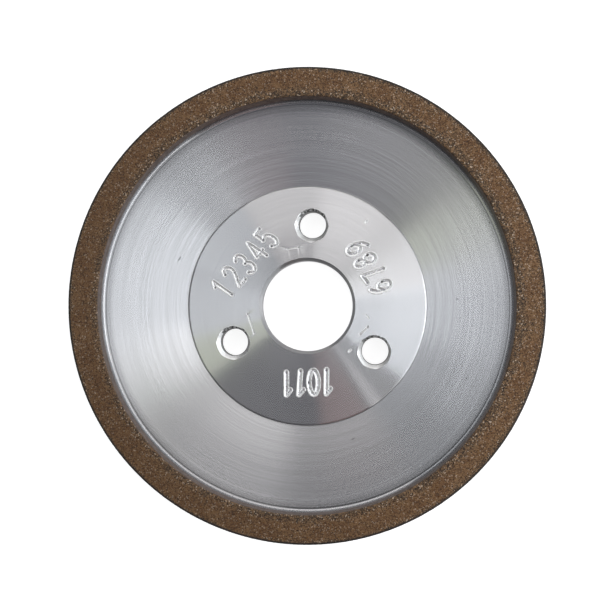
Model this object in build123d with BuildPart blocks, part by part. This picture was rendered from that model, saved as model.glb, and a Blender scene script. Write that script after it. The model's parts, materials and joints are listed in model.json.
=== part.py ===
"""Cup wheel with a conical dish: a turned aluminium body that carries a moulded abrasive ring.

The wheel lies on its back face. The origin is the centre of that face, +Z runs along the bore
towards the abrasive ring, and the first screw hole is on +Y. Sizes are in millimetres.
"""

import os
from math import radians, tan

from build123d import *

# Whole wheel, seen along its axis
wheel_diameter = 115.0
back_face_diameter = 70.0
back_cone_angle = 20.0

# Abrasive ring: its face width, and its depth above the seat on the body
ring_face_width = 7.1
ring_depth = 4.0
ring_edge_break = 0.2

# Body: the outer land below the seat, and the inner wall that stands up round the dish
land_height = 2.3
land_edge_break = 0.3
wall_height = 2.3
wall_draft = 4.0
wall_foot_radius = 1.0

# Hub: a flat boss in the middle of the dish
web_thickness = 6.0
hub_diameter = 58.4
hub_step = 0.4
hub_edge_break = 0.12

# Bore for the spindle, and the circle of countersunk screw holes
bore_diameter = 22.23
bore_front_chamfer = 0.7
bore_back_chamfer = 0.5
screw_hole_diameter = 6.6
countersink_diameter = 8.6
countersink_angle = 90.0
screw_circle_diameter = 40.0
screw_count = 3

# Dovetail key: a groove in the seat that the ring is moulded into
key_floor_width = 3.0
key_depth = 0.8
key_flank_angle = 72.0

# Places that follow from the sizes above
wheel_radius = wheel_diameter / 2
back_face_radius = back_face_diameter / 2
hub_radius = hub_diameter / 2
land_base = (wheel_radius - back_face_radius) * tan(radians(back_cone_angle))
seat_height = land_base + land_height
wheel_height = seat_height + ring_depth
dish_edge_height = seat_height - wall_height
dish_floor_height = web_thickness - hub_step
ring_inner_radius = wheel_radius - ring_face_width


def wall_radius(height):
    """The inner wall's radius at a height: it leans in towards its foot by the draft."""
    return ring_inner_radius - (wheel_height - height) * tan(radians(wall_draft))


def circles_of(part, radius):
    """The part's circular edges of one radius, from the lowest to the highest."""
    return part.edges().filter_by(
        lambda edge: edge.geom_type == GeomType.CIRCLE and abs(edge.radius - radius) < 0.001
    ).sort_by(Axis.Z)


seat_inner_radius = wall_radius(seat_height)
seat_middle_radius = (seat_inner_radius + wheel_radius) / 2

# The key's section hangs below the seat, and it cuts the body and fills out the ring alike
with BuildSketch(Plane.XZ) as key_section:
    with Locations((seat_middle_radius, seat_height)):
        Trapezoid(key_floor_width, key_depth, key_flank_angle, align=(Align.CENTER, Align.MAX))

# Aluminium body: back cone, outer land, keyed seat, wall, conical dish and raised hub
with BuildPart() as aluminium_body:
    with BuildSketch(Plane.XZ) as body_section:
        with BuildLine():
            Polyline(
                (0, 0),
                (back_face_radius, 0),
                (wheel_radius, land_base),
                (wheel_radius, seat_height),
                (seat_inner_radius, seat_height),
                (wall_radius(dish_edge_height), dish_edge_height),
                (hub_radius, dish_floor_height),
                (hub_radius, web_thickness),
                (0, web_thickness),
                close=True,
            )
        make_face()
        wall_foot = body_section.vertices().sort_by_distance(
            (wall_radius(dish_edge_height), 0, dish_edge_height)
        )[0]
        fillet(wall_foot, wall_foot_radius)
    revolve(axis=Axis.Z)
    revolve(key_section.sketch, axis=Axis.Z, mode=Mode.SUBTRACT)

    chamfer(circles_of(aluminium_body, hub_radius)[-1], hub_edge_break)
    chamfer(circles_of(aluminium_body, wheel_radius)[0], land_edge_break)

    with Locations((0, 0, web_thickness)):
        Hole(bore_diameter / 2)
    chamfer(circles_of(aluminium_body, bore_diameter / 2)[-1], bore_front_chamfer)
    chamfer(circles_of(aluminium_body, bore_diameter / 2)[0], bore_back_chamfer)

    with Locations((0, 0, web_thickness)):
        with PolarLocations(screw_circle_diameter / 2, screw_count, start_angle=90):
            CounterSinkHole(
                screw_hole_diameter / 2,
                countersink_diameter / 2,
                counter_sink_angle=countersink_angle,
            )

# Abrasive ring: bonded face to face on the seat, its key in the groove, front edges broken
with BuildPart() as abrasive_ring:
    with BuildSketch(Plane.XZ):
        with BuildLine():
            Polyline(
                (seat_inner_radius, seat_height),
                (wheel_radius, seat_height),
                (wheel_radius, wheel_height),
                (ring_inner_radius, wheel_height),
                close=True,
            )
        make_face()
    revolve(axis=Axis.Z)
    chamfer(abrasive_ring.faces().sort_by(Axis.Z)[-1].edges(), ring_edge_break)
    revolve(key_section.sketch, axis=Axis.Z)

os.makedirs("parts", exist_ok=True)

aluminium_body.part.label = "aluminium_body"
export_step(aluminium_body.part, "parts/aluminium_body.step")

abrasive_ring.part.label = "abrasive_ring"
export_step(abrasive_ring.part, "parts/abrasive_ring.step")
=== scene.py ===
"""A cup grinding wheel, dressed for the camera.

The turned aluminium body and the bonded abrasive ring are meshed from the same few sizes as the solids.
The body gets stamped numerals, cut holes and the fine grooves of the lathe; the ring gets its grit."""

import json
import math

import bmesh
import bpy
import numpy as np
from mathutils import Matrix, Vector, noise
from mathutils.geometry import delaunay_2d_cdt


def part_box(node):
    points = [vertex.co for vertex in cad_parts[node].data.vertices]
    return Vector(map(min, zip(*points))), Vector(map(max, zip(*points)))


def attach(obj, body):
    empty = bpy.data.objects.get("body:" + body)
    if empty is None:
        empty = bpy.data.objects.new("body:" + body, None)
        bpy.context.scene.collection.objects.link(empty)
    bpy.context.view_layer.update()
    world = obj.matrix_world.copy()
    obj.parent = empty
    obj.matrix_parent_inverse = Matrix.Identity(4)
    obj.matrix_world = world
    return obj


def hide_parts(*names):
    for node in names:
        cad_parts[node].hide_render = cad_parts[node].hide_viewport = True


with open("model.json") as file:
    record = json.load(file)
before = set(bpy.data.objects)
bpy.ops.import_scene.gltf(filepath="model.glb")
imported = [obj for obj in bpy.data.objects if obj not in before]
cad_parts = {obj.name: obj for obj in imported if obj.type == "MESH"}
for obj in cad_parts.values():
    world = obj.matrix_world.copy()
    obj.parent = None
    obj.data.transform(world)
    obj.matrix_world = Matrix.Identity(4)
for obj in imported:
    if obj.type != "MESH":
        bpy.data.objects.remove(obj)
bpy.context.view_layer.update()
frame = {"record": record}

MM = 0.001
mounts = {mount["name"]: mount for mount in frame["record"]["mounts"]}
_, body_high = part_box("aluminium_body")
ring_low, ring_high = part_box("abrasive_ring")

# Sizes read from the frame, in millimetres
wheel_radius = body_high.x / MM
seat_height = body_high.z / MM
wheel_height = ring_high.z / MM
key_floor_height = ring_low.z / MM
hub_height = mounts["hub_face"]["pos_m"][2] / MM
bore_radius = mounts["bore"]["dims"]["r_mm"]
screw_hole_radius = mounts["screw_circle"]["dims"]["hole_r_mm"]
screw_circle_radius = mounts["screw_circle"]["dims"]["pcd_mm"] / 2
screw_count = mounts["screw_circle"]["dims"]["count"]

# Sizes of the solids that the frame doesn't name, in millimetres
back_face_radius = 35.0
land_height = 2.3
land_edge_break = 0.3
ring_face_width = 7.1
ring_edge_break = 0.2
wall_height = 2.3
wall_draft = math.radians(4.0)
hub_radius = 29.2
hub_step = 0.4
bore_front_chamfer = 0.7
bore_back_chamfer = 0.5
key_floor_width = 3.0
key_flank_angle = math.radians(72.0)

ring_inner_radius = wheel_radius - ring_face_width
land_base = seat_height - land_height
dish_edge_height = seat_height - wall_height
dish_floor_height = hub_height - hub_step

# Sizes that only the picture gives, in millimetres: the solids lack them or have them plainer
wall_bend_radius = 0.6
hub_edge_break = 0.14
hub_edge_width = 0.25
hub_foot_radius = 0.14
stop_line_radius = 46.98

# The hand-held countersinks: their mouth, a ring halfway down and the burr round the drilled
# hole, and how far the cutter stood off the hole in the picture
countersink_radius = 4.2
countersink_depth = 0.88
countersink_middle_radius = 3.85
countersink_middle_depth = 0.30
burr_width = 0.12
cutter_shift = (-0.22, -0.22)
countersink_floor = hub_height - countersink_depth

# A stamped stroke: the notch along its groove, the pits at its ends and the lip beside it.
# Notch and lip are shares of the stroke's depth, the lip's place, width and reach of its half width.
long_stroke = 2.0
notch_share = 0.7
notch_width = 0.08
pit_depth = 0.4
pit_width = 0.18
lip_share = 0.30
lip_place = 1.22
lip_width = 0.22
lip_reach = 2.2

# The abrasive's skin, in millimetres: the size of its grains and of the chips out of its inner
# edge, and how far it sinks for each on its face, its inner wall and its outside
grain_size = 0.42
chip_size = 0.55
chip_width = 0.7
face_sink = 0.06
face_chip = 0.16
inner_sink = 0.02
inner_chip = 0.14
outer_sink = 0.04

# How finely the meshes are cut: the fine grid goes a margin past each mark, and an extra loop
# holds the seat's corners sharp
body_segments = 360
bore_segments = 180
hole_segments = 96
ring_segments = 1320
face_rows = 34
wall_rows = 9
stamp_grid = 0.085
stamp_margin = 1.4
edge_loop = 0.05

# The picture shows the first screw hole a little clockwise of twelve o'clock
photo_turn = math.radians(3.7)
picture_right = Vector((math.cos(photo_turn), math.sin(photo_turn), 0))
picture_up = Vector((-math.sin(photo_turn), math.cos(photo_turn), 0))


def on_picture(x, y):
    """A flat point given in millimetres right of and above the axis as the picture shows it."""
    return np.array((picture_right * x + picture_up * y)[:2])


def clock_direction(clock):
    """The level direction of an angle in the picture, clockwise from the top in degrees."""
    angle = math.radians(clock)
    return picture_up * math.cos(angle) + picture_right * math.sin(angle)


# Curves and rings that the meshes are made of


def circle(radius, height, count, centre=(0.0, 0.0)):
    """Points of a circle; the radius may also be one value for each point."""
    angles = np.arange(count) * 2 * math.pi / count
    reach = np.broadcast_to(radius, count)
    x = centre[0] + reach * np.cos(angles)
    y = centre[1] + reach * np.sin(angles)
    return np.stack([x, y, np.full(count, float(height))], axis=1)


def rounded_corner(corner, before, after, radius, steps):
    """Points of the arc that rounds one corner of an outline."""
    corner, before, after = (np.array(point, float) for point in (corner, before, after))
    toward = (before - corner) / np.linalg.norm(before - corner)
    away = (after - corner) / np.linalg.norm(after - corner)
    half = math.acos(float(toward @ away)) / 2
    middle_line = (toward + away) / np.linalg.norm(toward + away)
    centre = corner + middle_line * radius / math.sin(half)
    start = corner + toward * radius / math.tan(half) - centre
    end = corner + away * radius / math.tan(half) - centre
    first = math.atan2(start[1], start[0])
    turn = (math.atan2(end[1], end[0]) - first + math.pi) % (2 * math.pi) - math.pi
    angles = [first + turn * step / steps for step in range(steps + 1)]
    return [(centre[0] + radius * math.cos(angle), centre[1] + radius * math.sin(angle)) for angle in angles]


def between(start, end, shares):
    """Points on the straight run from start to end, at shares of its length."""
    start, end = np.array(start), np.array(end)
    return [tuple(start + (end - start) * share) for share in shares]


def wall_radius(height):
    """Radius of the drafted inner wall at a height."""
    return ring_inner_radius - (wheel_height - height) * math.tan(wall_draft)


wall_foot_start = wall_radius(dish_edge_height) - wall_bend_radius


def key_points():
    """The dovetail key in the seat: its mouth and floor, from the inside out."""
    middle = (wall_radius(seat_height) + wheel_radius) / 2
    half_floor = key_floor_width / 2
    half_mouth = half_floor - (seat_height - key_floor_height) / math.tan(key_flank_angle)
    return [
        (middle - half_mouth, seat_height),
        (middle - half_floor, key_floor_height),
        (middle + half_floor, key_floor_height),
        (middle + half_mouth, seat_height),
    ]


class MeshMaker:
    """Collects points and faces in millimetres and makes one closed piece in metres."""

    def __init__(self):
        self.points = []
        self.faces = []

    def add(self, points, faces):
        start = len(self.points)
        self.points.extend(map(tuple, points))
        self.faces.extend(tuple(start + i for i in face) for face in faces)

    def strip(self, rings):
        """Faces between rings that have the same number of points, each closed on itself."""
        count = len(rings[0])
        faces = []
        for row in range(len(rings) - 1):
            near, far = row * count, (row + 1) * count
            for i in range(count):
                j = (i + 1) % count
                faces.append((near + i, near + j, far + j, far + i))
        self.add(np.concatenate(rings), faces)

    def plate(self, outer, holes, inner_points, height_at):
        """A face between an outer rim and its holes, given as (centre, ring), with points of its own."""
        rims = [outer[:, :2]] + [ring[:, :2] for _, ring in holes]
        edges = []
        start = 0
        for rim in rims:
            edges.extend((start + i, start + (i + 1) % len(rim)) for i in range(len(rim)))
            start += len(rim)
        corners = [Vector(point) for point in np.concatenate(rims + [inner_points])]
        found, _, triangles, origins, *_ = delaunay_2d_cdt(corners, edges, [], 0, 1e-6)
        flat = np.array([tuple(point) for point in found])
        order = np.array([min(origin) for origin in origins])
        triangles = np.array(triangles)

        # A triangle inside a hole has three points of its rim, which run the same way round as the rim
        places = np.sort(order[triangles], axis=1)
        start = len(outer)
        keep = np.ones(len(triangles), bool)
        for rim in rims[1:]:
            end = start + len(rim)
            own = (places[:, 0] >= start) & (places[:, 2] < end)
            one, two, three = (rim[(places[own, k] - start)] for k in range(3))
            area = np.cross(two - one, three - one)
            keep[np.flatnonzero(own)[area > 0]] = False
            start = end
        self.add(np.column_stack([flat, height_at(flat)]), triangles[keep].tolist())

    def make(self, name, sharp_angle):
        """The finished piece, with double points joined and edges over an angle left sharp."""
        mesh = bpy.data.meshes.new(name)
        mesh.from_pydata([Vector(point) * MM for point in self.points], [], self.faces)
        work = bmesh.new()
        work.from_mesh(mesh)
        bmesh.ops.remove_doubles(work, verts=work.verts, dist=0.002 * MM)
        bmesh.ops.recalc_face_normals(work, faces=work.faces)
        for face in work.faces:
            face.smooth = True
        for edge in work.edges:
            if edge.calc_face_angle(0) > sharp_angle:
                edge.smooth = False
        work.to_mesh(mesh)
        work.free()
        piece = bpy.data.objects.new(name, mesh)
        bpy.context.scene.collection.objects.link(piece)
        return piece


def beyond_rim(points, centre, ring):
    """How far each flat point lies outside a rim, seen from the rim's centre."""
    rim = ring[:, :2] - centre
    angles = np.arctan2(rim[:, 1], rim[:, 0])
    reach = np.linalg.norm(rim, axis=1) * math.cos(math.pi / len(rim))
    offset = points - centre
    here = np.arctan2(offset[:, 1], offset[:, 0])
    return np.linalg.norm(offset, axis=1) - np.interp(here, angles, reach, period=2 * math.pi)


# Stamped numerals: single strokes in a box one unit high, punched one digit at a time


def line(*points):
    """One stroke of straight runs."""
    return [np.array(points, float)]


def arc(x, y, width, height, start, end, steps=14):
    """Part of an ellipse round a point, from one angle to another in degrees."""
    angles = np.radians(np.linspace(start, end, steps + 1))
    return [np.stack([x + width * np.cos(angles), y + height * np.sin(angles)], axis=1)]


DIGITS = {
    "0": arc(0.25, 0.5, 0.23, 0.5, 0, 360, 28),
    "1": line((0.08, 0.78), (0.28, 1.0), (0.28, 0.0)),
    "2": arc(0.25, 0.73, 0.23, 0.27, 165, -38) + line((0.43, 0.56), (0.02, 0.0), (0.5, 0.0)),
    "3": arc(0.23, 0.75, 0.22, 0.25, 150, -80) + arc(0.23, 0.26, 0.25, 0.26, 85, -150),
    "4": line((0.37, 0.0), (0.37, 1.0), (0.0, 0.3), (0.5, 0.3)),
    "5": line((0.46, 1.0), (0.08, 1.0), (0.05, 0.56)) + arc(0.23, 0.32, 0.25, 0.32, 128, -145),
    "6": arc(0.25, 0.3, 0.23, 0.3, 0, 360, 24) + arc(0.48, 0.36, 0.46, 0.64, 176, 108),
    "7": line((0.02, 1.0), (0.48, 1.0), (0.18, 0.0)),
    "8": arc(0.25, 0.76, 0.19, 0.24, 0, 360, 22) + arc(0.25, 0.26, 0.24, 0.26, 0, 360, 24),
    "9": arc(0.25, 0.7, 0.23, 0.3, 0, 360, 24) + arc(0.02, 0.64, 0.46, 0.64, -4, -72),
}
DIGIT_MIDDLE = (0.25, 0.5)


def stamp_row(text, first, last, up, height, half_width):
    """Strokes of a row of digits between the middles of its first and last, as (path, half width, depth)."""
    width_share = 0.84
    depth_share = 0.42
    rng = np.random.default_rng(len(text) * 7 + int(height * 10))
    start, end = on_picture(*first), on_picture(*last)
    along = (end - start) / np.linalg.norm(end - start)
    rise = on_picture(*up) / np.linalg.norm(up)
    strokes = []
    # Each punch stands, leans and bites a little differently
    for index, digit in enumerate(text):
        place = start + (end - start) * index / (len(text) - 1) + rise * rng.normal(0, 0.14)
        tilt = rng.normal(0, 0.05)
        size = height * (1 + rng.normal(0, 0.02))
        depth = half_width * depth_share * (1 + rng.normal(0, 0.10))
        for stroke in DIGITS[digit]:
            flat = (stroke - DIGIT_MIDDLE) * (size * width_share, size)
            across = flat[:, 0] * math.cos(tilt) - flat[:, 1] * math.sin(tilt)
            high = flat[:, 0] * math.sin(tilt) + flat[:, 1] * math.cos(tilt)
            strokes.append((place + np.outer(across, along) + np.outer(high, rise), half_width, depth))
    return strokes


numerals = (
    stamp_row("12345", (-20.9, 4.2), (-9.9, 16.5), (-0.8, 0.6), height=5.6, half_width=0.36)
    + stamp_row("6789", (18.0, 4.6), (12.4, 14.2), (-0.9, -0.45), height=5.2, half_width=0.46)
    + stamp_row("1011", (4.8, -18.9), (-5.0, -18.9), (0, -1), height=5.8, half_width=0.44)
)

# Scratches and dents on the hub: their ends in the picture, half width and depth
scratches = [
    (np.array([on_picture(*start), on_picture(*end)]), half_width, depth)
    for start, end, half_width, depth in (
        ((-14.7, -2.1), (-13.1, -6.7), 0.16, 0.05),
        ((13.0, -7.0), (14.8, -5.2), 0.20, 0.10),
        ((10.2, -11.2), (10.6, -10.9), 0.22, 0.10),
        ((14.5, -2.3), (15.2, -3.1), 0.12, 0.03),
        ((-4.8, 13.9), (-2.1, 14.3), 0.13, 0.04),
        ((14.3, 20.4), (14.6, 20.7), 0.25, 0.09),
    )
]
hub_marks = numerals + scratches


def stroke_distance(points, path):
    """Distance of each point from a path of straight runs."""
    nearest = np.full(len(points), np.inf)
    for start, end in zip(path[:-1], path[1:]):
        run = end - start
        share = np.clip((points - start) @ run / (run @ run), 0, 1)
        gap = np.linalg.norm(points - start - share[:, None] * run, axis=1)
        nearest = np.minimum(nearest, gap)
    return nearest


def marked_height(points):
    """Height of the hub face: strokes are grooves, with a notch along the middle and pits at the ends."""
    torn_scale = 2.6
    torn_share = 0.9
    pressed = np.zeros(len(points))
    raised = np.zeros(len(points))
    for path, half_width, depth in hub_marks:
        gap = stroke_distance(points, path)
        reach = gap / half_width
        flank = np.clip(1 - reach, 0, 1)
        groove = -depth * (flank + notch_share * np.exp(-((gap / notch_width) ** 2)) * (reach < 1))
        if len(path) > 2 or np.linalg.norm(path[0] - path[-1]) > long_stroke:
            for end in (path[0], path[-1]):
                off_end = np.linalg.norm(points - end, axis=1)
                groove -= pit_depth * np.exp(-((off_end / pit_width) ** 2))
        pressed = np.minimum(pressed, groove)
        lip = lip_share * depth * np.exp(-(((reach - lip_place) / lip_width) ** 2))
        raised = np.maximum(raised, np.where(reach < lip_reach, lip, 0))
    torn = np.array([noise.noise(Vector((x * torn_scale, y * torn_scale, 0))) for x, y in points])
    height = np.where(pressed < -1e-3, pressed, raised)
    return hub_height + height * (1 + torn_share * torn)


def hub_points(outer, holes):
    """A fine grid of points round the marks, kept a little off the outer rim and the holes."""
    spots = []
    for path, half_width, depth in hub_marks:
        low = np.floor((path.min(axis=0) - stamp_margin) / stamp_grid)
        high = np.ceil((path.max(axis=0) + stamp_margin) / stamp_grid)
        columns, rows = np.meshgrid(np.arange(low[0], high[0]), np.arange(low[1], high[1]))
        grid = np.stack([columns, rows], axis=-1).reshape(-1, 2)
        near = stroke_distance(grid * stamp_grid, path)
        spots.append(grid[near < half_width * 1.9 + 0.1])
    grid = np.unique(np.concatenate(spots), axis=0)
    points = grid * stamp_grid
    points[:, 0] += (grid[:, 1] % 2) * stamp_grid / 2
    for centre, ring in holes:
        points = points[beyond_rim(points, centre, ring) > stamp_grid]
    return points[beyond_rim(points, np.zeros(2), outer) < -stamp_grid]


# The turned body


def hole_centre(index):
    """Where the axis of a screw hole is; the first is straight above the bore."""
    angle = math.radians(90 + 360 * index / screw_count)
    return screw_circle_radius * np.array((math.cos(angle), math.sin(angle)))


def hole_rings(index):
    """Centre and rings of a screw hole: a countersink that chattered, its burr and the drilled wall."""
    centre = hole_centre(index)
    cut_centre = centre + on_picture(*cutter_shift)
    around = np.arange(hole_segments) * 2 * math.pi / hole_segments
    # The cutter leaves a faint polygon, and chatters most on the upper side
    flats = 8
    part = (around + 0.7 * index) % (2 * math.pi / flats) - math.pi / flats
    polygon = 1 / np.cos(part) - 1 / math.cos(math.pi / flats)
    upper = np.clip(np.cos(around - math.radians(100 - 25 * index)), 0, 1) ** 2
    chatter = np.array([noise.noise(Vector((turn * 4.5, index * 5.0, 0))) for turn in around])
    rim = countersink_radius * (1 + 0.35 * polygon) + 0.16 * upper * chatter
    middle = countersink_middle_radius + 0.22 * upper * np.roll(chatter, 7)
    return centre, [
        circle(rim, hub_height, hole_segments, cut_centre),
        circle(middle, hub_height - countersink_middle_depth, hole_segments, (centre + cut_centre) / 2),
        circle(screw_hole_radius + burr_width, countersink_floor, hole_segments, centre),
        circle(screw_hole_radius, countersink_floor - burr_width, hole_segments, centre),
        circle(screw_hole_radius, 0.0, hole_segments, centre),
    ]


def body_outline():
    """From the hub's edge over the dish, the wall, the keyed seat and the back cone to the back face."""
    hub_foot = (hub_radius, dish_floor_height)
    wall_foot = (wall_radius(dish_edge_height), dish_edge_height)
    seat_inner = (wall_radius(seat_height), seat_height)
    step = rounded_corner(hub_foot, (hub_radius, hub_height), wall_foot, hub_foot_radius, 4)
    bend = rounded_corner(wall_foot, hub_foot, seat_inner, wall_bend_radius, 16)
    cone_run = np.array((wheel_radius - back_face_radius, land_base))
    cone_top = np.array((wheel_radius, land_base)) - cone_run / np.linalg.norm(cone_run) * land_edge_break
    return [
        (hub_radius - hub_edge_width, hub_height),
        (hub_radius, hub_height - hub_edge_break),
        *step,
        *between(step[-1], bend[0], (0.01, 0.05, 0.25, 0.5, 0.75, 0.95, 0.99)),
        *bend,
        (wall_radius(seat_height - edge_loop), seat_height - edge_loop),
        seat_inner,
        *key_points(),
        (wheel_radius, seat_height),
        (wheel_radius, seat_height - edge_loop),
        (wheel_radius, land_base + land_edge_break),
        *between(cone_top, (back_face_radius, 0.0), (0.0, 0.02, 0.3, 0.6, 0.97, 1.0)),
    ]


def make_body():
    """The whole body as one closed mesh."""
    maker = MeshMaker()
    rings = [circle(radius, height, body_segments) for radius, height in body_outline()]
    maker.strip(rings)
    bore = [
        circle(bore_radius + bore_front_chamfer, hub_height, bore_segments),
        circle(bore_radius, hub_height - bore_front_chamfer, bore_segments),
        circle(bore_radius, bore_back_chamfer, bore_segments),
        circle(bore_radius + bore_back_chamfer, 0.0, bore_segments),
    ]
    maker.strip(bore)
    holes = [hole_rings(index) for index in range(screw_count)]
    for centre, hole in holes:
        maker.strip(hole)
    axis = np.zeros(2)
    front = [(axis, bore[0])] + [(centre, hole[0]) for centre, hole in holes]
    back = [(axis, bore[-1])] + [(centre, hole[-1]) for centre, hole in holes]
    points = hub_points(rings[0], front)
    maker.plate(rings[0], front, points, marked_height)
    maker.plate(rings[-1], back, np.zeros((0, 2)), lambda flat: np.zeros(len(flat)))
    return maker.make("turned_body", math.radians(18))


# The abrasive ring


def grain_depth(points, size, seed):
    """How far each point lies below the highest grains, from 0 to 1, for grains of a size in millimetres."""
    shift = Vector((seed * 13.7, seed * 5.1, seed * 9.3))
    depth = []
    for point in points:
        place = Vector(point) / size + shift
        depth.append(noise.noise(place) + 0.5 * noise.noise(place * 2.2))
    return np.clip(0.45 + 0.75 * np.array(depth), 0, 1)


def ring_outline():
    """Up the inner wall, over the face, down the outside, and under along the keyed seat."""
    wall_top = wheel_height - ring_edge_break
    heights = np.linspace(seat_height, wall_top, wall_rows)
    radii = np.linspace(ring_inner_radius + ring_edge_break, wheel_radius - ring_edge_break, face_rows)
    inner = [(wall_radius(height), height) for height in heights]
    face = [(radius, wheel_height) for radius in radii]
    outer = [(wheel_radius, height) for height in heights[::-1]]
    return inner, face, outer


def make_ring():
    """The ring: each point of its skin sinks a little into it, and the edge at the dish is chipped."""
    inner, face, outer = ring_outline()
    rings = []
    for radius, height in inner:
        points = circle(radius, height, ring_segments)
        share = (height - seat_height) / (wheel_height - seat_height)
        sink = inner_sink * min(1, share * 4) * grain_depth(points, grain_size, 1)
        sink += inner_chip * max(0, share - 0.8) / 0.2 * grain_depth(points, chip_size, 2)
        points[:, :2] *= 1 + sink[:, None] / radius
        rings.append(points)
    for radius, height in face:
        points = circle(radius, height, ring_segments)
        chipped = max(0, 1 - (radius - ring_inner_radius) / chip_width)
        points[:, 2] -= face_sink * grain_depth(points, grain_size, 1)
        points[:, 2] -= face_chip * chipped * grain_depth(points, chip_size, 2)
        rings.append(points)
    for radius, height in outer:
        points = circle(radius, height, ring_segments)
        share = (height - seat_height) / (wheel_height - seat_height)
        sink = outer_sink * min(1, share * 4) * grain_depth(points, grain_size, 1)
        points[:, :2] *= 1 - sink[:, None] / radius
        rings.append(points)
    rings += [circle(radius, height, ring_segments) for radius, height in key_points()[::-1]]
    maker = MeshMaker()
    maker.strip(rings + rings[:1])
    return maker.make("bonded_ring", math.radians(75))


# Materials


class Graph:
    """A material's nodes, with short calls for the ones used most."""

    def __init__(self, name):
        self.material = bpy.data.materials.new(name)
        self.material.use_nodes = True
        self.nodes = self.material.node_tree.nodes
        self.links = self.material.node_tree.links
        self.shader = self.nodes["Principled BSDF"]

    def feed(self, value, socket):
        """Links a socket to a socket, or sets a plain value."""
        if isinstance(value, bpy.types.NodeSocket):
            self.links.new(value, socket)
        else:
            socket.default_value = value

    def set(self, **values):
        """Sets the shader's sockets; an underscore in a name stands for a space."""
        for name, value in values.items():
            self.feed(value, self.shader.inputs[name.replace("_", " ")])

    def math(self, operation, *values):
        node = self.nodes.new("ShaderNodeMath")
        node.operation = operation
        for value, socket in zip(values, node.inputs):
            self.feed(value, socket)
        return node.outputs[0]

    def vector(self, operation, *values):
        node = self.nodes.new("ShaderNodeVectorMath")
        node.operation = operation
        for value, socket in zip(values, node.inputs):
            self.feed(value, socket)
        return node.outputs["Value" if operation == "LENGTH" else "Vector"]

    def scaled(self, vector, factor):
        node = self.nodes.new("ShaderNodeVectorMath")
        node.operation = "SCALE"
        self.feed(vector, node.inputs[0])
        self.feed(factor, node.inputs["Scale"])
        return node.outputs["Vector"]

    def joined(self, x, y, z):
        node = self.nodes.new("ShaderNodeCombineXYZ")
        for value, socket in zip((x, y, z), node.inputs):
            self.feed(value, socket)
        return node.outputs[0]

    def parts(self, vector):
        node = self.nodes.new("ShaderNodeSeparateXYZ")
        self.feed(vector, node.inputs[0])
        return node.outputs[0], node.outputs[1], node.outputs[2]

    def mixed(self, factor, one, two):
        """A colour between two, by a factor from 0 to 1."""
        node = self.nodes.new("ShaderNodeMix")
        node.data_type = "RGBA"
        self.feed(factor, node.inputs[0])
        self.feed(one, node.inputs[6])
        self.feed(two, node.inputs[7])
        return node.outputs[2]

    def noise(self, vector, size, detail=2.0, roughness=0.5):
        """Noise round 0 with features of a size in millimetres."""
        node = self.nodes.new("ShaderNodeTexNoise")
        self.feed(vector, node.inputs["Vector"])
        node.inputs["Scale"].default_value = 1 / size
        node.inputs["Detail"].default_value = detail
        node.inputs["Roughness"].default_value = roughness
        return self.math("SUBTRACT", node.outputs["Fac"], 0.5)

    def ramp(self, value, low, high, to_low=0.0, to_high=1.0):
        """A smooth change from to_low to to_high as the value goes from low to high."""
        node = self.nodes.new("ShaderNodeMapRange")
        node.interpolation_type = "SMOOTHSTEP"
        names = ("Value", "From Min", "From Max", "To Min", "To Max")
        for given, name in zip((value, low, high, to_low, to_high), names):
            self.feed(given, node.inputs[name])
        return node.outputs["Result"]

    def bump(self, height, strength, distance):
        """A normal from a height from about 0 to 1, for a relief of a depth in millimetres."""
        node = self.nodes.new("ShaderNodeBump")
        self.feed(strength, node.inputs["Strength"])
        node.inputs["Distance"].default_value = distance * MM
        self.feed(height, node.inputs["Height"])
        return node.outputs["Normal"]

    def place(self):
        """Where the point is on the piece, in millimetres: as a vector, from the axis, and its height."""
        node = self.nodes.new("ShaderNodeTexCoord")
        point = self.scaled(node.outputs["Object"], 1 / MM)
        x, y, z = self.parts(point)
        return point, self.vector("LENGTH", self.joined(x, y, 0.0)), z


def nick_shade(g, point, nicks):
    """Small dark nicks, each an oval given by its place in the picture, its half length and its turn."""
    half_width = 0.13
    x, y, _ = g.parts(point)
    total = 0.0
    for place, half_length, turn in nicks:
        middle = on_picture(*place)
        run = clock_direction(turn)
        dx = g.math("SUBTRACT", x, float(middle[0]))
        dy = g.math("SUBTRACT", y, float(middle[1]))
        along = g.math("ADD", g.math("MULTIPLY", dx, run.x), g.math("MULTIPLY", dy, run.y))
        aside = g.math("SUBTRACT", g.math("MULTIPLY", dx, run.y), g.math("MULTIPLY", dy, run.x))
        long_share = g.math("DIVIDE", along, half_length)
        wide_share = g.math("DIVIDE", aside, half_width)
        oval = g.vector("LENGTH", g.joined(long_share, wide_share, 0.0))
        total = g.math("MAXIMUM", total, g.ramp(oval, 1.3, 0.5))
    return total


DISH_NICKS = (
    ((-31.5, 11.5), 0.55, 45),
    ((44.5, 20.1), 0.22, 0),
    ((36.7, 1.6), 0.35, 80),
    ((11.2, -32.6), 0.45, 60),
    ((-31.3, 11.9), 0.30, 20),
    ((38.8, -17.7), 0.25, 130),
    ((-19.7, 28.9), 0.25, 70),
)


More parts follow.
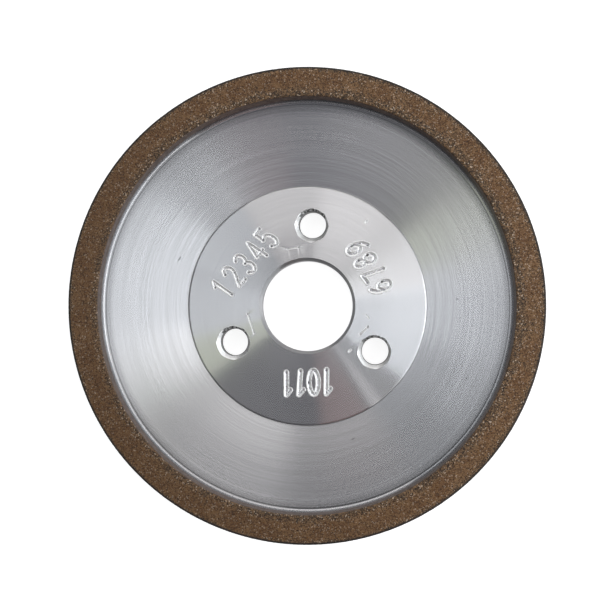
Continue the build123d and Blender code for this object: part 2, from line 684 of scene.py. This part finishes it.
def turned_material(name, tone=0.80, lean=(0, 0), span=(0, 1), roughness=0.25, streak=1.0, nicks=()):
    """Bare turned aluminium.

    Fine grooves round the axis spread each reflection along the radius. Lean tips the grooves'
    flanks outwards, as a worn tool does, by two amounts at the two radii of span. Streak is how
    uneven the grooves are."""
    g = Graph(name)
    point, radius, height = g.place()
    x, y, _ = g.parts(point)
    outward = g.vector("NORMALIZE", g.joined(x, y, 0.0))

    def streaks(width, length, detail):
        """Noise drawn out round the axis, for streaks of a width and length in millimetres."""
        typical_radius = 40.0
        around_x, around_y, _ = g.parts(g.scaled(outward, typical_radius / length))
        across = g.math("DIVIDE", g.math("MULTIPLY_ADD", height, 0.7, radius), width)
        return g.noise(g.joined(around_x, around_y, across), 1.0, detail)

    fine = streaks(0.25, 30.0, 2.0)
    broad = streaks(1.5, 40.0, 1.0)
    grain = g.noise(point, 0.24, 2.0, 0.8)

    # The thin double line where the tool last stopped
    off_line = g.math("ABSOLUTE", g.math("SUBTRACT", radius, stop_line_radius))
    off_line = g.math("ABSOLUTE", g.math("SUBTRACT", off_line, 0.28))
    stop_line = g.ramp(off_line, 0.20, 0.06)

    lean_here = g.ramp(radius, *span, *lean)
    lean_here = g.math("MULTIPLY_ADD", fine, 0.045 * streak, lean_here)
    lean_here = g.math("MULTIPLY_ADD", broad, 0.010 * streak, lean_here)
    turn = g.nodes.new("ShaderNodeVectorTransform")
    turn.vector_type = "VECTOR"
    turn.convert_from = "OBJECT"
    turn.convert_to = "WORLD"
    g.feed(g.scaled(outward, lean_here), turn.inputs[0])
    geometry = g.nodes.new("ShaderNodeNewGeometry")
    normal = g.vector("NORMALIZE", g.vector("ADD", geometry.outputs["Normal"], turn.outputs[0]))

    shade = g.math("MULTIPLY_ADD", fine, 0.34 * streak, tone)
    shade = g.math("MULTIPLY_ADD", broad, 0.04 * streak, shade)
    shade = g.math("MULTIPLY_ADD", grain, 0.16, shade)
    shade = g.math("MULTIPLY_ADD", stop_line, 0.06, shade)
    # Painted shade: darker towards the wall, where the wall shades the dish
    shade = g.math("MULTIPLY", shade, g.ramp(radius, stop_line_radius + 0.4, wall_foot_start, 1.0, 0.71))
    # Painted shade: the straight wall above the bend is painted darker, as it stands in shade
    wall_shade = g.ramp(height, dish_edge_height + 0.7, dish_edge_height + 1.3, 1.0, 0.38)
    shade = g.math("MULTIPLY", shade, wall_shade)
    # Painted shade: a thin dark line in the crease where the bend starts
    off_shade_line = g.math("ABSOLUTE", g.math("SUBTRACT", radius, wall_foot_start - 0.10))
    shade = g.math("MULTIPLY", shade, g.ramp(off_shade_line, 0.05, 0.22, 0.62, 1.0))
    if nicks:
        shade = g.math("MULTIPLY", shade, g.math("MULTIPLY_ADD", nick_shade(g, point, nicks), -0.6, 1.0))
    colour = g.joined(shade, g.math("MULTIPLY", shade, 0.995), g.math("MULTIPLY", shade, 1.02))

    tangent = g.nodes.new("ShaderNodeTangent")
    tangent.direction_type = "RADIAL"
    tangent.axis = "Z"
    g.set(Metallic=1.0, Roughness=roughness, Anisotropic=1.0, Anisotropic_Rotation=0.25)
    g.set(Base_Color=colour, Normal=normal, Tangent=tangent.outputs["Tangent"])
    return g.material


def cut_material(name, tone, roughness):
    """Countersinks and stamped strokes: short torn cuts that scatter the light."""
    g = Graph(name)
    point, _, _ = g.place()
    shade = g.math("MULTIPLY_ADD", g.noise(point, 0.4, 3.0, 0.6), 0.35 * tone, tone)
    g.set(Metallic=1.0, Roughness=roughness, Base_Color=g.joined(shade, shade, shade))
    g.set(Normal=g.bump(g.noise(point, 0.5), 0.5, 0.06))
    return g.material


BOND_DEEP = (0.132, 0.057, 0.016, 1)
BOND_LIGHT = (0.172, 0.085, 0.030, 1)
BOND_ROUGH = (0.104, 0.070, 0.041, 1)
BOND_RED = (0.100, 0.040, 0.013, 1)
GRIT_LIGHT = (0.320, 0.182, 0.086, 1)
GRIT_DARK = (0.030, 0.015, 0.007, 1)
GRIT_PALE = (0.68, 0.54, 0.41, 1)
# Painted shade for the side of the face away from the light
SHADED_SIDE_DARK = (0.05, 0.028, 0.014, 1)
PIT_DARK = (0.014, 0.009, 0.006, 1)
SKIN_DARK = (0.060, 0.040, 0.031, 1)
SKIN_LIGHT = (0.120, 0.084, 0.067, 1)
SIDE_DARK = (0.095, 0.055, 0.030, 1)
SIDE_LIGHT = (0.190, 0.120, 0.070, 1)
# Painted shade for the edge at the rim
RIM_SHADE_DARK = (0.012, 0.009, 0.007, 1)


def abrasive_material():
    """Resin bond full of grit: brown, with dark pits, pale grains and a few that catch the light."""
    g = Graph("bonded_abrasive")
    point, radius, height = g.place()

    cells = g.nodes.new("ShaderNodeTexVoronoi")
    g.feed(point, cells.inputs["Vector"])
    cells.inputs["Scale"].default_value = 4.2
    tone, pale_chance, shine_chance = g.parts(cells.outputs["Color"])
    pits = g.noise(point, 0.28, 2.0, 0.65)
    clouds = g.noise(point, 4.5, 3.0, 0.55)
    patches = g.noise(point, 1.1)

    # Worn smooth along the middle, rougher and greyer towards the rim and the dish
    rim_side = g.ramp(radius, wheel_radius - 1.8, wheel_radius - 0.4, 0.0, 0.75)
    dish_side = g.ramp(radius, ring_inner_radius + 3.2, ring_inner_radius + 0.4)
    rough = g.math("MULTIPLY_ADD", clouds, 1.6, g.math("MAXIMUM", rim_side, dish_side))
    # Painted shade: the face is painted darker and smoother on one side, and lighter and grainier towards
    # the side the light comes from
    x, y, _ = g.parts(point)
    lit_side = clock_direction(65) / wheel_radius
    toward_lit_side = g.math("ADD", g.math("MULTIPLY", x, lit_side.x), g.math("MULTIPLY", y, lit_side.y))
    rough = g.math("MULTIPLY_ADD", toward_lit_side, 0.25, rough)

    bond = g.mixed(g.ramp(clouds, -0.15, 0.15), BOND_DEEP, BOND_LIGHT)
    bond = g.mixed(g.ramp(rough, 0.1, 0.9, 0.0, 0.8), bond, BOND_ROUGH)
    bond = g.mixed(g.ramp(patches, -0.15, 0.2, 0.0, 0.4), bond, BOND_RED)
    light = g.math("MULTIPLY", g.ramp(tone, 0.25, 1.0, 0.0, 0.8), g.ramp(rough, -0.2, 0.6, 0.55, 1.0))
    grit = g.mixed(light, bond, GRIT_LIGHT)
    grit = g.mixed(g.ramp(tone, 0.0, 0.45, 0.62, 0.0), grit, GRIT_DARK)
    pale = g.math("MULTIPLY", g.math("GREATER_THAN", pale_chance, 0.94), g.ramp(rough, 0.0, 1.0, 0.4, 0.95))
    grit = g.mixed(pale, grit, GRIT_PALE)
    # Painted shade, darkest on the side away from the light
    grit = g.mixed(g.ramp(toward_lit_side, 0.5, -1.0, 0.0, 0.22), grit, SHADED_SIDE_DARK)
    pit_level = g.ramp(rough, 0.0, 1.0, -0.085, -0.010)
    pit = g.ramp(g.math("SUBTRACT", pits, pit_level), 0.0, -0.05, 0.0, 0.95)
    face = g.mixed(pit, grit, PIT_DARK)

    # The sides keep their moulded skin, and the edge at the rim is painted dark as shade
    skin = g.mixed(g.ramp(patches, -0.2, 0.2), SKIN_DARK, SKIN_LIGHT)
    side = g.mixed(g.ramp(tone, 0.2, 1.0, 0.0, 0.6), SIDE_DARK, SIDE_LIGHT)
    side = g.mixed(g.math("MULTIPLY", pit, 0.7), side, PIT_DARK)
    face = g.mixed(g.ramp(height, wheel_height - 0.30, wheel_height - 0.55), face, side)
    # Painted shade along the rounded edge at the rim
    rim_shade_band = g.ramp(radius, wheel_radius - 0.66, wheel_radius - 0.34, 0.0, 0.93)
    edge = g.math("MULTIPLY", rim_shade_band, g.ramp(height, wheel_height - 0.80, wheel_height - 0.25))
    face = g.mixed(edge, face, RIM_SHADE_DARK)
    moulded = g.ramp(radius, ring_inner_radius + 0.08, ring_inner_radius - 0.02)
    colour = g.mixed(moulded, face, skin)

    shine = g.math("GREATER_THAN", shine_chance, 0.965)
    relief = g.math("MULTIPLY_ADD", cells.outputs["Distance"], -0.5, pits)
    gloss = g.ramp(shine, 0.0, 1.0, 0.5, 0.15)
    gloss = g.math("MULTIPLY", gloss, g.ramp(moulded, 0.0, 1.0, 1.0, 0.8))
    g.set(Base_Color=colour, Roughness=gloss, Specular_IOR_Level=g.ramp(moulded, 0.0, 1.0, 0.4, 0.12))
    g.set(Normal=g.bump(relief, g.ramp(moulded, 0.0, 1.0, 0.9, 0.4), 0.09))
    return g.material


def face_finish(centre, normal, off_hole):
    """The finish of a face of the body, by where its middle is and how it lies, in millimetres."""
    back_clearance = 1.0
    mark_margin = 1.0
    flat_normal = 0.985
    deep_mark = 0.22
    hole_margin = 0.3
    skin = 0.01
    reach = math.hypot(centre.x, centre.y)
    finish = "dish"
    if wall_foot_start < reach < ring_inner_radius and centre.z > dish_floor_height:
        finish = "wall"
    # Painted shade in the corner at the foot of the hub's step
    if abs(reach - hub_radius) < hub_foot_radius and back_clearance < centre.z < hub_height - hub_edge_break:
        finish = "bore"
    if reach < hub_radius and centre.z > hub_height - hub_edge_break:
        finish = "hub" if reach < hub_radius - hub_edge_width else "wall"
        if normal.z < flat_normal and reach < hub_radius - mark_margin:
            finish = "cut_bright"
        # Painted shade at the bottoms of the deep strokes and their pits
        if centre.z < hub_height - deep_mark and reach < hub_radius - mark_margin:
            finish = "cut_painted_shade"
    if off_hole < countersink_radius + hole_margin and skin < centre.z < hub_height - skin:
        # Painted shade on the burr and the drilled wall below the countersink
        finish = "cut_bright" if centre.z > countersink_floor else "cut_painted_shade"
        # The upper side of a countersink, which faces down the picture, gets patches of painted shade
        upper = -normal.dot(picture_up) > 0.45
        if upper and noise.noise(Vector((centre.x * 2.3, centre.y * 2.3, 5.0))) > 0.05:
            finish = "cut_painted_shade"
    # Painted shade in the bore and its chamfers
    if reach < bore_radius + bore_front_chamfer and centre.z > skin:
        finish = "bore"
    return finish


def paint_body(body):
    """Gives each zone of the body its own finish; the wall, bore and dark cut finishes hold painted shade.
    """
    dish_span = (hub_radius, stop_line_radius)
    hub_span = (bore_radius + 1, bore_radius + 12)
    finishes = {
        "dish": turned_material("turned_dish", lean=(-0.05, 0.02), span=dish_span, nicks=DISH_NICKS),
        "hub": turned_material("turned_hub", lean=(0.14, 0.2), span=hub_span, streak=0.35),
        # Painted shade: the wall finish is the turned aluminium painted darker; the hub's edge shares it
        "wall": turned_material("turned_wall_painted_shade", tone=0.68, roughness=0.19, streak=0.3),
        # Painted shade: the bore finish is the turned aluminium painted dark, in the bore and at the foot of
        # the hub's step
        "bore": turned_material("turned_bore_painted_shade", tone=0.36, roughness=0.3, streak=0.3),
        "cut_bright": cut_material("cut_bright", 0.94, 0.45),
        # Painted shade: the cut metal painted dark, for deep strokes, hole throats and the shaded side of
        # countersinks
        "cut_painted_shade": cut_material("cut_painted_shade", 0.22, 0.5),
    }
    for material in finishes.values():
        body.data.materials.append(material)
    slots = {finish: index for index, finish in enumerate(finishes)}
    holes = [hole_centre(index) for index in range(screw_count)]
    for face in body.data.polygons:
        centre = face.center / MM
        off_hole = min(math.hypot(centre.x - x, centre.y - y) for x, y in holes)
        face.material_index = slots[face_finish(centre, face.normal, off_hole)]


body = make_body()
ring = make_ring()
for piece, node, slot in ((body, "aluminium_body", "body"), (ring, "abrasive_ring", "abrasive")):
    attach(piece, "root")
    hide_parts(node)
paint_body(body)
ring.data.materials.append(abrasive_material())

# Stage: a pale floor and a low backdrop that show white and keep the wheel's shadow


def pale_material():
    """White to the camera, to metal and to glass, while its own paint still takes shadows."""
    g = Graph("pale_stage")
    rays = g.nodes.new("ShaderNodeLightPath").outputs
    reflected = g.math("MAXIMUM", rays["Is Glossy Ray"], rays["Is Transmission Ray"])
    to_camera = g.math("MULTIPLY", rays["Is Camera Ray"], 0.86)
    to_metal = g.math("MULTIPLY", reflected, 0.5)
    seen = g.math("MAXIMUM", to_camera, to_metal)
    g.set(Base_Color=(0.55, 0.55, 0.55, 1), Roughness=0.9, Specular_IOR_Level=0.0)
    g.set(Emission_Color=(1, 1, 1, 1), Emission_Strength=seen)
    # Clear from underneath, so that the wheel's back can be looked at
    geometry = g.nodes.new("ShaderNodeNewGeometry")
    g.set(Alpha=g.math("SUBTRACT", 1.0, geometry.outputs["Backfacing"]))
    return g.material


def make_stage(radius, height):
    """A round floor with an upright edge, in metres, a hair above the plane of the wheel's back."""
    count = 96
    floor_height = 0.00002
    rim = circle(radius, floor_height, count)
    top = circle(radius, height, count)
    faces = [tuple(range(count))]
    for i in range(count):
        j = (i + 1) % count
        faces.append((j, i, count + i, count + j))
    mesh = bpy.data.meshes.new("stage")
    mesh.from_pydata(np.concatenate([rim, top]).tolist(), [], faces)
    mesh.materials.append(pale_material())
    stage = bpy.data.objects.new("stage", mesh)
    bpy.context.scene.collection.objects.link(stage)
    return stage


make_stage(3.0, 0.70)

# Camera: above the wheel, a little right of and below its axis as the picture shows it


def make_camera(distance, offset, aim, view_width):
    """A camera over the face of the ring; offset and aim are on the picture, all in millimetres."""
    data = bpy.data.cameras.new("camera")
    data.sensor_width = 36.0
    data.lens = data.sensor_width * distance / view_width
    data.clip_start = 0.01
    camera = bpy.data.objects.new("camera", data)
    bpy.context.scene.collection.objects.link(camera)
    place = picture_right * offset[0] + picture_up * offset[1] + Vector((0, 0, wheel_height + distance))
    target = picture_right * aim[0] + picture_up * aim[1] + Vector((0, 0, wheel_height))
    back = (place - target).normalized()
    right = picture_up.cross(back).normalized()
    up = back.cross(right)
    camera.matrix_world = Matrix.Translation(place * MM) @ Matrix((right, up, back)).transposed().to_4x4()
    bpy.context.scene.camera = camera


make_camera(distance=400.0, offset=(16.2, -9.3), aim=(-1.40, 1.19), view_width=143.97)

# Light: a dim room and upright soft panels round the wheel


def softbox(name, clock, reach, rise, brightness, colour):
    """An upright soft panel.

    Clock gives the directions of its two sides in the picture, clockwise from the top in degrees.
    Reach is how far off it stands, in metres, and rise the height angles of its foot and its head."""
    middle = clock_direction((clock[0] + clock[1]) / 2)
    foot, head = (reach * math.tan(math.radians(angle)) for angle in rise)
    data = bpy.data.lights.new(name, "AREA")
    data.shape = "RECTANGLE"
    data.size = 2 * reach * math.tan(math.radians(clock[1] - clock[0]) / 2)
    data.size_y = head - foot
    data.energy = brightness * math.pi * data.size * data.size_y
    data.color = colour
    lamp = bpy.data.objects.new(name, data)
    bpy.context.scene.collection.objects.link(lamp)
    lamp.location = middle * reach + Vector((0, 0, wheel_height * MM + (foot + head) / 2))
    lamp.rotation_euler = middle.to_track_quat("Z", "Y").to_euler()
    lamp.visible_camera = False


cool = (0.93, 0.97, 1.0)
neutral = (1.0, 0.99, 0.98)
blue = (0.88, 0.90, 1.0)
warm = (1.0, 0.68, 0.64)
green = (0.94, 1.0, 0.80)
pale_green = (0.95, 1.0, 0.85)

# Each panel's name, clock, reach, rise, brightness and colour
SOFTBOXES = (
    ("window_top_left", (325, 360), 0.42, (30, 64), 1.10, neutral),
    ("window_top", (0, 38), 0.40, (30, 76), 1.05, neutral),
    ("window_top_right", (38, 77.5), 0.36, (30, 76), 0.94, neutral),
    ("window_right", (77.5, 128), 0.24, (30, 58), 1.85, cool),
    ("window_low", (35, 146), 0.22, (4, 28), 2.2, cool),
    ("window_low_right", (72, 104), 0.20, (4, 26), 1.4, neutral),
    ("window_low_top", (328, 395), 0.30, (4, 28), 1.3, neutral),
    ("panel_low", (128, 143), 0.45, (1, 58), 0.45, neutral),
    ("strip_thin", (143.5, 149.5), 0.44, (25, 60), 1.15, neutral),
    ("strip_warm", (152, 176), 0.45, (30, 60), 0.40, warm),
    ("panel_bottom", (176, 238), 0.45, (30, 58), 0.13, blue),
    ("strip_green", (238, 257.5), 0.30, (30, 76), 0.58, green),
    ("panel_left", (257.5, 290), 0.45, (40, 76), 0.78, cool),
    ("panel_top_left", (290, 325), 0.45, (36, 60), 1.30, cool),
    ("overhead_right", (50, 128), 0.12, (76, 87), 1.75, cool),
    ("overhead_bottom", (128, 165), 0.12, (76, 87), 1.05, cool),
    ("overhead_left", (165, 236), 0.12, (76, 87), 0.34, blue),
    ("overhead_green", (236, 259), 0.12, (76, 87), 0.40, pale_green),
    ("overhead_top_left", (259, 290), 0.12, (76, 87), 0.36, blue),
)
for panel in SOFTBOXES:
    softbox(*panel)


def make_world(dim, pale):
    """A dim room above the floor, and pale light below it for looks from underneath."""
    world = bpy.data.worlds.new("room")
    world.use_nodes = True
    nodes = world.node_tree.nodes
    links = world.node_tree.links
    place = nodes.new("ShaderNodeTexCoord")
    split = nodes.new("ShaderNodeSeparateXYZ")
    below = nodes.new("ShaderNodeMapRange")
    below.inputs["From Min"].default_value = -0.01
    below.inputs["From Max"].default_value = -0.03
    below.inputs["To Min"].default_value = dim
    below.inputs["To Max"].default_value = pale
    links.new(place.outputs["Generated"], split.inputs[0])
    links.new(split.outputs["Z"], below.inputs["Value"])
    links.new(below.outputs["Result"], nodes["Background"].inputs["Strength"])
    nodes["Background"].inputs["Color"].default_value = (0.95, 0.95, 1.0, 1)
    bpy.context.scene.world = world


make_world(dim=0.06, pale=0.8)
bpy.context.scene.view_settings.view_transform = "Standard"
